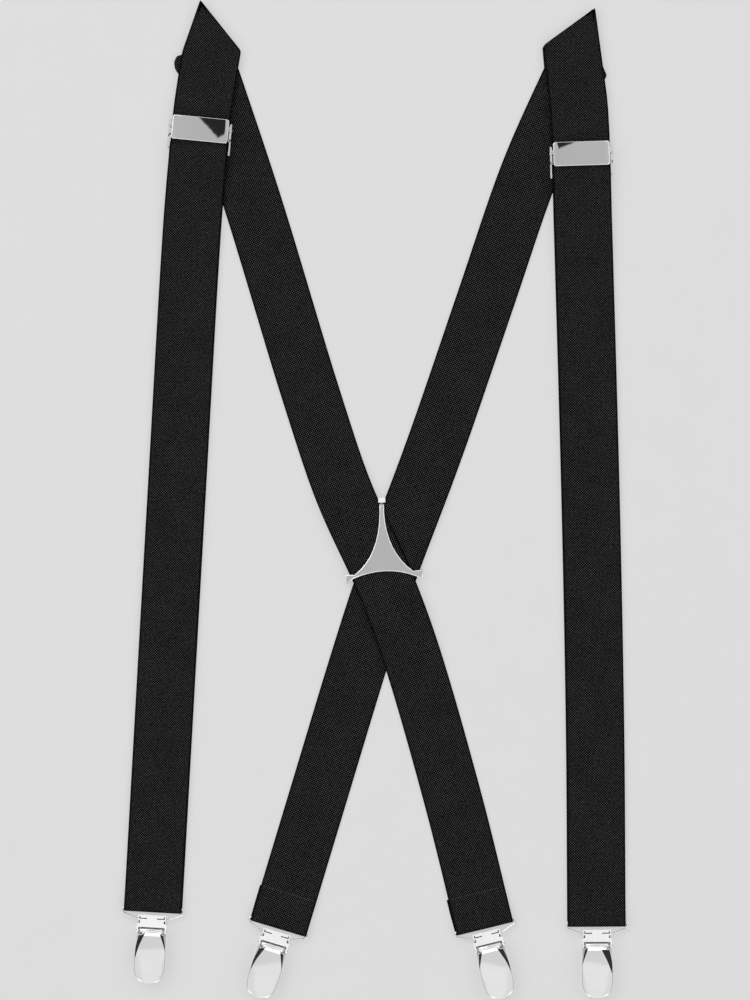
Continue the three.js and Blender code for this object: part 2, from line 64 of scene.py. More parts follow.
# ---- Driving dimensions ----
WEBBING_WIDTH = 35 * MM
WEBBING_THICK = 1.0 * MM
STATION = 3 * MM  # step along a strap
ROW = 2 * MM  # step between the rows at which a CAD strap is measured
OFF_CORNERS = 1e-7  # keeps a row from passing exactly through a mesh's corners
TWILL = 1.08 * MM  # pitch of the weave's diagonal lines
CLIPS = ("left_front", "right_front", "left_back", "right_back")
SIDES = ("left", "right")
ACROSS_TAIL = {"left": "right", "right": "left"}  # the side on which a shoulder's back run ends


# ---- Shader helpers ----
class Shader:
    """A material's or world's node tree, with short ways to add nodes and link them."""

    def __init__(self, tree):
        self.tree = tree
        tree.nodes.clear()

    def add(self, kind, values=None, **settings):
        node = self.tree.nodes.new("ShaderNode" + kind)
        for key, value in settings.items():
            setattr(node, key, value)
        for socket, value in (values or {}).items():
            self.feed(node.inputs[socket], value)
        return node

    def feed(self, socket, value):
        if isinstance(value, bpy.types.NodeSocket):
            self.tree.links.new(value, socket)
        else:
            socket.default_value = value

    def math(self, operation, *values):
        node = self.add("Math", operation=operation)
        for socket, value in zip(node.inputs, values):
            self.feed(socket, value)
        return node.outputs[0]

    def mix(self, factor, low, high):
        node = self.add("MapRange", {0: factor, 1: 0.0, 2: 1.0, 3: low, 4: high})
        return node.outputs[0]

    def wave(self, distance, pitch):
        """A sine from 0 to 1 along a distance."""
        turns = self.math("MULTIPLY", distance, 2 * math.pi / pitch)
        return self.math("MULTIPLY_ADD", self.math("SINE", turns), 0.5, 0.5)

    def noise(self, vector, scale, detail=2.0, roughness=0.5):
        node = self.add(
            "TexNoise",
            {"Vector": vector, "Scale": scale, "Detail": detail, "Roughness": roughness},
        )
        return node.outputs["Fac"]

    def grey(self, value):
        node = self.add("CombineColor", {0: value, 1: value, 2: value})
        return node.outputs[0]


def new_material(name):
    material = bpy.data.materials.new(name)
    material.use_nodes = True
    shader = Shader(material.node_tree)
    surface = shader.add("BsdfPrincipled")
    output = shader.add("OutputMaterial")
    shader.tree.links.new(surface.outputs[0], output.inputs["Surface"])
    return material, shader, surface


DARKEST, LIGHTEST = 0.0004, 0.165  # of the yarns
CROSS_YARNS = 0.72  # how much weaker the lines across the twill leave it
YARN_SHARPNESS = 3.7  # more leaves smaller bright points
YARN_DRIFT = 0.25 * MM
PAINTED_EDGE_SHADE = (0.7 * MM, 1.3 * MM)  # from the edge: where the painted shade at the rounded edge starts to lighten, and ends


def webbing_material(name, heading=None):
    """Fine black elastic, woven in small diamonds. A run given a heading takes its weave from where it
    lies, turned to that heading, so that the weave would not stretch if the run were bent; a run without
    one takes it from its own distances."""
    material, shader, surface = new_material(name)
    own = shader.add("Attribute", attribute_name="weave").outputs["Vector"]
    along, across, edge = shader.add("SeparateXYZ", {0: own}).outputs
    place = shader.add("NewGeometry").outputs["Position"]
    if heading:
        x, y, _ = shader.add("SeparateXYZ", {0: place}).outputs
        along = shader.math(
            "ADD", shader.math("MULTIPLY", x, heading.x), shader.math("MULTIPLY", y, heading.y)
        )
        across = shader.math(
            "ADD", shader.math("MULTIPLY", x, -heading.y), shader.math("MULTIPLY", y, heading.x)
        )
    fuzz = shader.noise(place, 800.0, 2.0, 0.6)
    drift = shader.math("MULTIPLY", shader.math("SUBTRACT", fuzz, 0.5), YARN_DRIFT)
    diagonal = TWILL * math.sqrt(2)
    twill = shader.wave(shader.math("ADD", shader.math("ADD", along, across), drift), diagonal)
    cross = shader.wave(shader.math("ADD", shader.math("SUBTRACT", across, along), drift), diagonal)
    yarn = shader.math("MULTIPLY", twill, shader.math("MULTIPLY_ADD", cross, CROSS_YARNS, 1 - CROSS_YARNS))
    cloud = shader.noise(place, 60.0, 2.0)
    lit = shader.math("MULTIPLY", shader.math("POWER", yarn, YARN_SHARPNESS), shader.mix(fuzz, -0.2, 2.2))
    lit = shader.math("MULTIPLY", lit, shader.mix(cloud, 0.75, 1.25))
    # painted shade: the colour darkens towards each rounded edge and over the webbing's sides
    from_edge = shader.math("SUBTRACT", WEBBING_WIDTH / 2, shader.math("ABSOLUTE", edge))
    inner = shader.add(
        "MapRange",
        {0: from_edge, 1: PAINTED_EDGE_SHADE[0], 2: PAINTED_EDGE_SHADE[1], 3: 0.0, 4: 1.0},
        interpolation_type="SMOOTHSTEP",
    ).outputs[0]
    value = shader.mix(shader.math("MAXIMUM", lit, 0.0), DARKEST, LIGHTEST)
    # darkens the colour to 0.3 of itself at the edges: painted shade
    value = shader.math("MULTIPLY", value, shader.mix(inner, 0.3, 1.0))
    shader.feed(surface.inputs["Base Color"], shader.grey(value))
    surface.inputs["Roughness"].default_value = 0.9
    surface.inputs["Specular IOR Level"].default_value = 0.02
    relief = shader.math("MULTIPLY", yarn, inner)
    bump = shader.add("Bump", {"Strength": 0.5, "Distance": 0.12 * MM, "Height": relief})
    shader.feed(surface.inputs["Normal"], bump.outputs[0])
    return material


def metal_material(name, shade, roughness, scratch):
    """Plated metal, with fine scratches and a slightly uneven polish."""
    material, shader, surface = new_material(name)
    place = shader.add("TexCoord").outputs["Object"]
    cloud = shader.noise(place, 45.0, 3.0, 0.6)
    drawn = shader.add("Mapping", {"Vector": place, "Scale": (220.0, 2600.0, 900.0)}).outputs[0]
    lines = shader.noise(drawn, 1.0, 2.0, 0.7)
    surface.inputs["Metallic"].default_value = 1.0
    tone = shader.mix(cloud, shade * 0.93, min(shade * 1.05, 1.0))
    shader.feed(surface.inputs["Base Color"], shader.grey(tone))
    spread = shader.math("MULTIPLY_ADD", cloud, roughness * 0.5, roughness * 0.6)
    rough = shader.math("ADD", spread, shader.math("MULTIPLY", lines, scratch))
    shader.feed(surface.inputs["Roughness"], rough)
    bump = shader.add("Bump", {"Strength": 0.04, "Distance": 0.01 * MM, "Height": lines})
    shader.feed(surface.inputs["Normal"], bump.outputs[0])
    return material


def grip_material():
    """Moulded matt plastic with a fine grain."""
    material, shader, surface = new_material("grip_plastic")
    place = shader.add("TexCoord").outputs["Object"]
    grain = shader.noise(place, 2200.0, 3.0, 0.6)
    worn = shader.noise(place, 120.0, 2.0)
    shader.feed(surface.inputs["Base Color"], shader.grey(shader.mix(worn, 0.010, 0.022)))
    shader.feed(surface.inputs["Roughness"], shader.mix(grain, 0.45, 0.7))
    bump = shader.add("Bump", {"Strength": 0.4, "Distance": 0.05 * MM, "Height": grain})
    shader.feed(surface.inputs["Normal"], bump.outputs[0])
    return material


def thread_material():
    """Polyester sewing thread, with its twist."""
    material, shader, surface = new_material("thread")
    place = shader.add("TexCoord").outputs["Object"]
    x, y, _ = shader.add("SeparateXYZ", {0: place}).outputs
    twist = shader.wave(shader.math("ADD", x, y), 0.35 * MM)
    shader.feed(surface.inputs["Base Color"], shader.grey(shader.mix(twist, 0.018, 0.06)))
    surface.inputs["Roughness"].default_value = 0.65
    bump = shader.add("Bump", {"Strength": 0.5, "Distance": 0.05 * MM, "Height": twist})
    shader.feed(surface.inputs["Normal"], bump.outputs[0])
    return material


CHROME = metal_material("chrome", 0.88, 0.07, 0.05)
# a darker copy of the chrome for the cover faces and the crosspatch plate: painted shade for the grey that
# these flat faces mirror
SHADED_CHROME = metal_material("shaded_panel_chrome", 0.62, 0.03, 0.01)
EDGE = metal_material("edge_chrome", 0.97, 0.2, 0.02)
SATIN = metal_material("satin_chrome", 0.97, 0.72, 0.06)
STEEL = metal_material("spring_steel", 0.62, 0.24, 0.1)
GRIP = grip_material()
THREAD = thread_material()


# ---- Mesh helpers ----
def piece(name, points, faces, material, sharp=60, places=None):
    """A named, closed mesh with outward faces, its edges smooth below an angle in degrees."""
    mesh = bpy.data.meshes.new(name)
    mesh.from_pydata([tuple(point) for point in points], [], [tuple(face) for face in faces])
    if places is not None:
        weave = mesh.attributes.new("weave", "FLOAT_VECTOR", "POINT")
        weave.data.foreach_set("vector", np.array(places, float).ravel())
    shaped = bmesh.new()
    shaped.from_mesh(mesh)
    bmesh.ops.recalc_face_normals(shaped, faces=shaped.faces)
    shaped.to_mesh(mesh)
    shaped.free()
    mesh.shade_smooth()
    mesh.set_sharp_from_angle(angle=math.radians(sharp))
    mesh.materials.append(material)
    made = bpy.data.objects.new(name, mesh)
    bpy.context.scene.collection.objects.link(made)
    return made


def ring_faces(rings, size, closed):
    """The faces between rings of points, with a cap on each end if the sweep isn't closed."""
    faces = []
    for ring in range(rings if closed else rings - 1):
        first, second = ring * size, (ring + 1) % rings * size
        for k in range(size):
            n = (k + 1) % size
            faces.append((first + k, first + n, second + n, second + k))
    if not closed:
        faces += [range(size), range((rings - 1) * size, rings * size)]
    return faces


def circle(radius, steps=10):
    turns = [2 * math.pi * n / steps for n in range(steps)]
    return [(radius * math.cos(turn), radius * math.sin(turn)) for turn in turns]


def rounded(corners, radius, steps=4):
    """A closed outline in plan with its corners rounded."""
    outline = []
    for i, corner in enumerate(corners):
        before = (corners[i - 1] - corner).normalized()
        after = (corners[(i + 1) % len(corners)] - corner).normalized()
        start, end = corner + before * radius, corner + after * radius
        for n in range(steps + 1):
            t = n / steps
            outline.append(start.lerp(corner, t).lerp(corner.lerp(end, t), t))
    return outline


def wire(name, outline, radius, material, height=0.0, place=Matrix.Identity(4)):
    """Round wire along a closed outline in plan."""
    points = []
    count = len(outline)
    for i, here in enumerate(outline):
        along = (outline[(i + 1) % count] - outline[i - 1]).normalized()
        aside = Vector((-along.y, along.x, 0))
        centre = Vector((here.x, here.y, height))
        points += [place @ (centre + aside * u + UP * v) for u, v in circle(radius, 12)]
    return piece(name, points, ring_faces(count, 12, True), material)


# ---- Reading the CAD straps ----
class Solid:
    """A CAD node's surface, for measuring it."""

    def __init__(self, node):
        mesh = NODES[node].data
        mesh.calc_loop_triangles()
        self.points = np.array([vertex.co for vertex in mesh.vertices])
        triangles = np.array([triangle.vertices for triangle in mesh.loop_triangles])
        pairs = np.concatenate([triangles[:, pair] for pair in ([0, 1], [1, 2], [2, 0])])
        self.edges = np.unique(np.sort(pairs, axis=1), axis=0)
        self.tree = BVHTree.FromPolygons(self.points.tolist(), triangles.tolist())

    def row(self, y):
        """The least and greatest x where a plane across Y cuts the surface, or None."""
        start, end = self.points[self.edges[:, 0]], self.points[self.edges[:, 1]]
        crossing = (start[:, 1] - y) * (end[:, 1] - y) < 0
        start, end = start[crossing], end[crossing]
        if not len(start):
            return None
        share = (y - start[:, 1]) / (end[:, 1] - start[:, 1])
        x = start[:, 0] + (end[:, 0] - start[:, 0]) * share
        return x.min(), x.max()

    def top(self, x, y):
        """The height of the uppermost surface at a place."""
        hit = self.tree.ray_cast(Vector((x, y, 1)), -UP)[0]
        return hit.z if hit else None


class Line:
    """A strap's centreline in plan, from its upper end to its lower end."""

    def __init__(self, points):
        self.points = np.array(points, float)
        steps = np.linalg.norm(np.diff(self.points, axis=0), axis=1)
        self.distances = np.concatenate([[0], np.cumsum(steps)])
        self.length = float(self.distances[-1])

    def point(self, distance):
        x, y = (float(np.interp(distance, self.distances, column)) for column in self.points.T)
        return Vector((x, y, 0))

    def at(self, distance):
        """Point and heading at a distance, going straight on past either end."""
        near = 8 * MM
        inside = min(max(distance, 0), self.length)
        low, high = max(inside - near, 0), min(inside + near, self.length)
        heading = (self.point(high) - self.point(low)).normalized()
        return self.point(inside) + heading * (distance - inside), heading

    def nearest(self, y):
        return float(np.interp(-y, -self.points[:, 1], self.distances))


def centreline(solid, top, bottom, end):
    """The middles of a CAD strap's rows between two places along Y, and on to its end."""
    middles = []
    for y in np.arange(top, bottom, -ROW):
        low, high = solid.row(float(y) + OFF_CORNERS)
        middles.append(((low + high) / 2, float(y)))
    return Line(middles + [(end.x, end.y)])


def levels(solid, line, start, end, step=STATION):
    """(distance, mid-height) along a strap, from its uppermost surface."""
    count = max(int(round((end - start) / step)), 2)
    found = []
    for n in range(count + 1):
        distance = start + (end - start) * n / count
        point, _ = line.at(distance)
        height = solid.top(point.x, point.y)
        if height is not None:
            found.append((distance, height - WEBBING_THICK / 2))
    return found


def softened(path):
    """The same path with its creases eased."""
    heights = [height for _, height in path]
    eased = []
    for i, (distance, _) in enumerate(path):
        near = heights[max(i - 1, 0) : i + 2]
        eased.append((distance, sum(near) / len(near)))
    return [path[0]] + eased[1:-1] + [path[-1]]


def turn(distance, height, radius, side, steps=12):
    """The webbing's middle round a bar, from above it to below it."""
    angles = [math.pi * (0.5 - n / steps) for n in range(steps + 1)]
    return [
        (distance + side * radius * math.cos(angle), height + radius * math.sin(angle))
        for angle in angles
    ]


def webbing_profile():
    """The webbing's section: rounded edges, a corded selvedge inside each, and a flat middle."""
    half, thick = WEBBING_WIDTH / 2, WEBBING_THICK / 2
    quarter = [math.pi / 2 * n / 4 for n in range(5)]
    right = [(half - thick + thick * math.cos(a), thick * math.sin(a)) for a in quarter]
    right += [
        (half - 1.0 * MM, thick + 0.03 * MM),
        (half - 1.5 * MM, thick - 0.05 * MM),
        (half - 2.2 * MM, thick),
        (half * 0.66, thick),
        (half * 0.33, thick),
    ]
    top = right + [(0, thick)] + [(-across, height) for across, height in reversed(right)]
    return top + [(-across, -height) for across, height in top[1:-1]]


PROFILE = webbing_profile()


def webbing(name, line, path, material, aside=None):
    """A run of webbing along a line, given as (distance, mid-height). aside moves it sideways."""
    centres, sideways = [], []
    for i, (distance, height) in enumerate(path):
        point, heading = line.at(distance)
        across = Vector((-heading.y, heading.x, 0))
        shift = aside(i, distance) if aside else 0.0
        centres.append(point + across * shift + UP * height)
        sideways.append(across)
    points, places = [], []
    travelled = 0.0
    for i, (centre, across) in enumerate(zip(centres, sideways)):
        before, after = centres[max(i - 1, 0)], centres[min(i + 1, len(centres) - 1)]
        up = (after - before).normalized().cross(across).normalized()
        travelled += (centre - centres[max(i - 1, 0)]).length
        points += [centre + across * u + up * v for u, v in PROFILE]
        # the third value, across, also places the painted edge shade
        places += [(travelled, u, u) for u, _ in PROFILE]
    faces = ring_faces(len(centres), len(PROFILE), False)
    made = piece(name, points, faces, material, places=places)
    made["length"] = travelled
    return made


# ---- Straps ----
def joint_frame(joint):
    """A frame at a hinge whose x runs along the strap, y across it and z up."""
    place = Vector(joint["pos_m"])
    across = -Vector(joint["axis"]).normalized()
    along = across.cross(UP)
    turned = Matrix((along, across, UP)).transposed().to_4x4()
    return Matrix.Translation(Vector((place.x, place.y, 0))) @ turned


def bar_of(clip):
    """The frame at a clip's loop bar, and the bar's middle."""
    place = joint_frame(JOINTS[clip + "_loop_swing"])
    return place, Vector(JOINTS[clip + "_loop_swing"]["pos_m"])


def slide_heading(side):
    return Vector(JOINTS[side + "_adjuster_slide"]["axis"]).normalized()


SEAM_STITCHES = 13
STITCH_LENGTH, STITCH_RADIUS = 1.9 * MM, 0.2 * MM
SEAM_MARGIN = 2.5 * MM  # between its ends and the webbing's edges


def seam(name, line, distance, height, body):
    """Stitches across a strap at a distance along it, each a short, arched thread."""
    points, faces = [], []
    point, heading = line.at(distance)
    across = Vector((-heading.y, heading.x, 0))
    span = WEBBING_WIDTH - 2 * SEAM_MARGIN
    for n in range(SEAM_STITCHES):
        middle = point + across * (span * (n / (SEAM_STITCHES - 1) - 0.5))
        start = len(points)
        for k in range(7):
            t = k / 6 - 0.5
            lift = STITCH_RADIUS * (0.9 - 5.0 * t * t)
            centre = middle + across * (t * STITCH_LENGTH) + UP * (height + lift)
            size = STITCH_RADIUS * (1.0 - 2.0 * t * t)
            points += [centre + heading * u + UP * v for u, v in circle(size, 8)]
        faces += [[start + index for index in face] for face in ring_faces(7, 8, False)]
    made = piece(name, points, faces, THREAD)
    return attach(made, body)


HEM_LENGTH = 20 * MM  # of the end turned back behind a clip's bar
SEAM_AT = 20 * MM  # from the bar
HEM_ASIDE = {"left": -1.0 * MM, "right": -0.6 * MM}
FOLD_DEPTH = 55 * MM  # how far the folds reach below the shoulder's tip
TUCKED_IN = 16 * MM  # of the run, under the folds


def back_run(side):
    """The run down the back, its end turned round the clip's loop bar and sewn, and its top folded."""
    node = side + "_strap_back"
    solid = Solid(node)
    tail = ACROSS_TAIL[side] + "_back"
    _, bar = bar_of(tail)
    fold_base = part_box(side + "_strap_shoulder")[1].y - FOLD_DEPTH
    line = centreline(solid, fold_base, bar.y + 12 * MM, bar)
    path = softened([(-TUCKED_IN, WEBBING_THICK / 2)] + levels(solid, line, 0.0, line.length))
    top = path[-1][1]
    radius = top - bar.z
    path = path[:-1] + turn(line.length, bar.z, radius, 1)
    first_of_hem = len(path)
    path += [(line.length - HEM_LENGTH * n / 6, WEBBING_THICK / 2) for n in range(1, 7)]

    def aside(i, distance):
        out = min(max((i - first_of_hem + 8) / 10, 0), 1)
        return HEM_ASIDE[side] * out

    material = webbing_material(side + "_back_webbing")
    run = webbing(side + "_back_run", line, path, material, aside)
    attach(run, "back")
    point, _ = line.at(line.length - SEAM_AT)
    stitches = seam(
        side + "_back_hem_stitches",
        line,
        line.length - SEAM_AT,
        solid.top(point.x, point.y),
        "back",
    )
    folds = shoulder_folds(side, solid, material)
    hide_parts(node)
    return run, [stitches, folds]


FOLD_CORNER = 1.2 * MM
SHOULDERS_FROM = 200 * MM  # along Y


def pad(name, outline, bottom, top, material, roll):
    """A flat sheet with rounded edges, from its outline in plan."""
    count = len(outline)
    area = sum(outline[i - 1].x * outline[i].y - outline[i].x * outline[i - 1].y for i in range(count))
    points, places = [], []
    steps = 8
    middle = (bottom + top) / 2
    for n in range(steps + 1):
        angle = math.pi * (n / steps - 0.5)
        inset, height = roll * (1 - math.cos(angle)), middle + (top - bottom) / 2 * math.sin(angle)
        for i, corner in enumerate(outline):
            along = (outline[(i + 1) % count] - outline[i - 1]).normalized()
            inward = Vector((-along.y, along.x, 0)) * (1 if area > 0 else -1)
            place = corner + inward * inset
            points.append(Vector((place.x, place.y, height)))
            # the third value places the painted edge shade on the pad's rolled edge
            places.append((place.y, place.x, WEBBING_WIDTH / 2 - inset - 0.8 * MM))
    faces = ring_faces(steps + 1, count, False)
    return piece(name, points, faces, material, places=places)


def shoulder_folds(side, solid, material):
    """The folded layers behind the front run's top."""
    upper = solid.points[solid.points[:, 1] > SHOULDERS_FROM]
    top = upper[:, 2].max()
    corners = np.unique(np.round(upper[np.abs(upper[:, 2] - top) < 1e-5][:, :2], 6), axis=0)
    middle = corners.mean(axis=0)
    order = np.argsort(np.arctan2(*(corners - middle).T[::-1]))
    corners = [Vector((*corners[i], 0)) for i in order]
    layers = pad(
        side + "_fold_layers", rounded(corners, FOLD_CORNER), 0.0, float(top), material, top / 2
    )
    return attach(layers, "back")


TIP_CUT = 0.4 * MM  # off the crease's sharp tip
TIP_ROUNDING = 1.2 * MM
TIP_ROWS = (0.08 * MM, 0.3 * MM, 0.6 * MM)  # below the cut
SELVEDGE_KEPT = 2.3 * MM  # of the section, unsqueezed where the run narrows


def shoulder_run(side):
    """The front run's top, from the diagonal crease at the shoulder into the adjuster."""
    node = side + "_strap_shoulder"
    solid = Solid(node)
    low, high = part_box(node)
    heading = slide_heading(side)
    half = WEBBING_WIDTH / 2
    points, places = [], []
    first, last = high.y - TIP_CUT, low.y + half * abs(heading.x) + 0.2 * MM
    steps = int((first - last) / (1.0 * MM))
    middle_height = high.z - WEBBING_THICK / 2
    rows = [first - below for below in TIP_ROWS]
    rows += [first + (last - first) * n / steps for n in range(1, steps + 1)]
    count = len(rows) - 1
    sides = np.array([solid.row(y + OFF_CORNERS) for y in rows])
    for n, y in enumerate(rows):
        near = sides[max(n - 1, 0) : n + 2]
        left, right = near.mean(axis=0) if 0 < n < count else sides[n]
        middle, reach = (left + right) / 2, (right - left) / 2
        if first - y < TIP_ROUNDING:
            reach *= math.sqrt(1 - (1 - (first - y) / TIP_ROUNDING) ** 2)
        for across, height in PROFILE:
            from_edge = half - abs(across)
            wide = abs(across) / half * reach
            if from_edge < SELVEDGE_KEPT:
                wide = max(reach - from_edge, 0.0)
            x = middle + math.copysign(min(wide, reach), across)
            points.append(Vector((x, y, middle_height + height)))
            places.append((first - y, across, across))
    material = FRONT_WEBBING[side]
    made = piece(
        side + "_shoulder_run",
        points,
        ring_faces(count + 1, len(PROFILE), False),
        material,
        places=places,
    )
    made["length"] = first - last
    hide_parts(node)
    return made


def front_run(side):
    """The outer run from the adjuster round the front clip's loop, and the return run beneath it."""
    outer = Solid(side + "_strap_front")
    inner = Solid(side + "_strap_return")
    heading = slide_heading(side)
    _, bar = bar_of(side + "_front")
    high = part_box(side + "_strap_front")[1]
    tilt = WEBBING_WIDTH / 2 * abs(heading.x)
    start = high.y - tilt
    line = centreline(outer, start - 2 * MM, bar.y + 8 * MM, bar)
    material = FRONT_WEBBING[side]
    path = softened(levels(outer, line, 0.0, line.length, 2 * MM))
    top = path[-1][1]
    path = path[:-1] + turn(line.length, bar.z, top - bar.z, 1)
    run = webbing(side + "_front_run", line, path, material)
    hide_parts(side + "_strap_front")

    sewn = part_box(side + "_adjuster_bar")
    eye = (sewn[0] + sewn[1]) / 2
    begin = line.nearest(eye.y)
    down = softened(levels(inner, line, begin, line.length - 1 * MM, 2 * MM))
    radius = down[0][1] - eye.z
    flap = [(begin + FLAP_LENGTH * n / 4, eye.z - radius) for n in range(4, 0, -1)]
    around = list(reversed(turn(begin, eye.z, radius, -1)))
    path = flap + around + down[1:]
    shift = RETURN_ASIDE[side]
    returned = webbing(side + "_return_run", line, path, material, lambda i, distance: shift)
    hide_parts(side + "_strap_return")
    return run, returned, line, begin


FLAP_LENGTH = 11.5 * MM
RETURN_ASIDE = {"left": 0.2 * MM, "right": -0.3 * MM}
BLEND_FROM = 75 * MM  # below the adjuster's bar: a point on the front run that is found but not used
BLEND_TO = 35 * MM  # above the clip's bar: a point on the front run that is found but not used
FRONT_WEBBING = {
    side: webbing_material(side + "_front_webbing", slide_heading(side)) for side in SIDES
}


def build_straps():
    for side in SIDES:
        back, with_back = back_run(side)
        run, returned, line, begin = front_run(side)
        shoulder = shoulder_run(side)
        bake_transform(shoulder)
        start, _ = line.at(begin + BLEND_FROM)
        end, _ = line.at(line.length - BLEND_TO)
        for moved in (run, returned):
            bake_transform(moved)


# ---- Clips ----
LOOP_WIRE = 0.6 * MM
LOOP_OUTLINE = [(0, -18.4), (2.9, -18.4), (6.3, -9.7), (6.3, 9.7), (2.9, 18.4), (0, 18.4)]


def clip_loop(clip):
    name = clip + "_clip_loop"
    place, bar = bar_of(clip)
    corners = [Vector((x * MM, y * MM, 0)) for x, y in LOOP_OUTLINE]
    made = wire(name + "_wire", rounded(corners, 1.1 * MM), LOOP_WIRE, CHROME, bar.z, place)
    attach(made, clip + "_loop")
    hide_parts(name)


LEVER_TOP = [  # (distance from the loop's bar, height) along the crown of the lever
    (14.0, 7.4),
    (15.9, 8.56),
    (24.0, 8.84),
    (29.0, 8.86),
    (33.0, 8.68),
    (37.0, 8.36),
    (41.0, 7.84),
    (44.7, 7.0),
]
LEVER_NECK = [  # (distance, half width)
    (14.0, 6.9),
    (14.9, 7.2),
    (15.9, 7.45),
    (16.6, 7.6),
    (18.0, 7.95),
    (20.0, 8.4),
    (22.0, 8.8),
    (24.0, 9.02),
]
LEVER_RIM, LEVER_SKIN = 4.7, 0.7  # height of its lower edge, and its thickness
LEVER_WALL = (1.2, 0.5)  # the least height of its side under the crown, and over the lower edge
LEVER_INNER = 0.92  # the hollow's width, as a share of the lever's
LEVER_NOSE = 0.3  # of its length, closed down to the lower edge
LEVER_CHEEK, LEVER_STRAIGHT, LEVER_END = 9.1, 34.0, 44.7
LEVER_ROUND = 3.0  # 2 gives an elliptical end, and more a blunter one
LEVER_CROWN = 0.35  # fall of the crown from its middle to its side
SIDE_FACETS = {  # widths at the neck of the outer and inner side facets
    "left_front": (3.3, 1.8),
    "right_front": (4.9, 1.6),
    "left_back": (3.0, 1.9),
    "right_back": (3.0, 1.9),
}
FACETS_START, FACETS_END = 15.0, (30.0, 25.0)  # where they are widest, and run out
FACET_CURVE = 0.8  # 1 would narrow them evenly, and less narrows them later
FACET_FALL = 0.75  # of their outer edge, for their width
EDGE_FACET, EDGE_SHARE = 0.16, 0.3  # the least width, or at the nose the least share of the half width
CREASE_SLANT = {"left_front": 0.0, "right_front": 0.2, "left_back": -0.23, "right_back": 0.36}
CREASE_SPAN = (17, 4, 34, 5)  # the slant starts, and over what; it ends, and over what
SPOON = (0.45, 0.3, 27, 6)  # the dished sides: their inner edge, depth, start and run-in
ACROSS = (1.0, 0.94, 0.82, 0.62, 0.35, 0.0)  # shares of the flat face's half width


def lever_stations():
    """(distance, half width) along the lever: its neck, straight cheeks and rounded end."""
    stations = LEVER_NECK + [(x, LEVER_CHEEK) for x in (26.0, 28.0, 30.0, 32.0, LEVER_STRAIGHT)]
    for n in range(1, 17):
        reach = min(math.sin(n / 16 * math.pi / 2), 0.997)
        x = LEVER_STRAIGHT + (LEVER_END - LEVER_STRAIGHT) * reach
        stations.append((x, LEVER_CHEEK * (1 - reach**2) ** (1 / LEVER_ROUND)))
    return stations


def lever_half(clip, x, half, side):
    """Half of the lever's section at a distance: (across, height) from its lower edge to its middle."""
    distances, heights = zip(*LEVER_TOP)
    rim = min(LEVER_RIM, np.interp(x, distances, heights) - LEVER_WALL[0])
    outer = -1 if clip.startswith("left") else 1
    which = 0 if side == outer else 1
    run_out = (FACETS_END[which] - x) / (FACETS_END[which] - FACETS_START)
    facet = SIDE_FACETS[clip][which] * min(max(run_out, 0), 1) ** FACET_CURVE
    facet = max(facet, min(EDGE_FACET, half * EDGE_SHARE))
    slant_from, slant_in, slant_to, slant_out = CREASE_SPAN
    slant_start = min(1, max(0, (x - slant_from) / slant_in))
    slant_end = min(1, max(0, (slant_to - x) / slant_out))
    inner, depth, dished_from, run_in = SPOON
    dished = min(1, max(0, (x - dished_from) / run_in))
    face = []
    for share in ACROSS:
        y = side * (half - facet) * share
        shifted = x - CREASE_SLANT[clip] * y * slant_start * slant_end
        z = float(np.interp(shifted, distances, heights)) - LEVER_CROWN * (y / LEVER_CHEEK) ** 2
        z -= max(0.0, (share - inner) / (1 - inner)) ** 2 * depth * dished
        face.append((y, z))
    fall = face[0][1] - FACET_FALL * facet
    return [(side * half, rim), (side * half, max(fall, rim + LEVER_WALL[1]))] + face, rim


def lever(clip):
    """The lever's pressed shell: a crowned face, creased across, with a folded facet down each side."""
    place, _ = bar_of(clip)
    points = []
    for x, half in lever_stations():
        left, rim = lever_half(clip, x, half, -1)
        right, _ = lever_half(clip, x, half, 1)
        over = left + list(reversed(right))[1:]
        skin = LEVER_SKIN if x < LEVER_END - LEVER_NOSE else LEVER_TOP[-1][1]
        under = [(y * LEVER_INNER, max(z - skin, rim)) for y, z in reversed(over)]
        section = over + under
        points += [place @ Vector((x * MM, y * MM, z * MM)) for y, z in section]
        size = len(section)
    faces = ring_faces(len(points) // size, size, False)
    made = piece(clip + "_lever_shell", points, faces, CHROME, sharp=25)
    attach(made, clip + "_clip_lever")
    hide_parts(clip + "_clip_lever")
    knuckle(clip, place)
    hood_painted_shade(clip, place)


HOOD_PAINTED_SHADE = [  # painted shade under the hood's slot and ear gap, in plan: (distance from the loop's bar, across)
    (3.9, 2.4),
    (6.5, 2.4),
    (6.5, 6.4),
    (11.0, 6.4),
    (11.0, 7.85),
    (3.9, 7.85),
]
HOOD_PAINTED_SHADE_LEVELS = (5.4, 5.65)
LEVER_PIN = (12.9, 6.0)  # distance from the loop's bar, and height
KNUCKLE = [(-6.9, 1.0), (-6.8, 1.3), (-6.5, 1.45), (6.5, 1.45), (6.8, 1.3), (6.9, 1.0)]  # (across, radius)


def knuckle(clip, place):
    """The lever's barrel round its pin, with rolled ends."""
    points = []
    at, height = LEVER_PIN
    for y, radius in KNUCKLE:
        ring = circle(radius, 20)
        points += [place @ Vector(((at + u) * MM, y * MM, (height + v) * MM)) for u, v in ring]
    faces = ring_faces(len(KNUCKLE), 20, False)
    made = piece(clip + "_lever_knuckle", points, faces, CHROME, sharp=50)
    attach(made, clip + "_clip_lever")


def hood_painted_shade(clip, place):
    """Painted shade in the hood's inside: a dark strip on each side, under its slot and the gap by its
    ear.
    """
    for side, name in ((-1, "_hood_painted_shade_a"), (1, "_hood_painted_shade_b")):
        corners = [(x, side * y) for x, y in HOOD_PAINTED_SHADE]
        if side < 0:
            corners.reverse()
        low, high = HOOD_PAINTED_SHADE_LEVELS
        points = [place @ Vector((x * MM, y * MM, z * MM)) for z in (low, high) for x, y in corners]
        faces = ring_faces(2, len(corners), False)
        # a dark sheet where the hood's inside is only in shadow: painted shade, not a part of the clip
        made = piece(clip + name, points, faces, GRIP)
        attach(made, clip + "_clip")


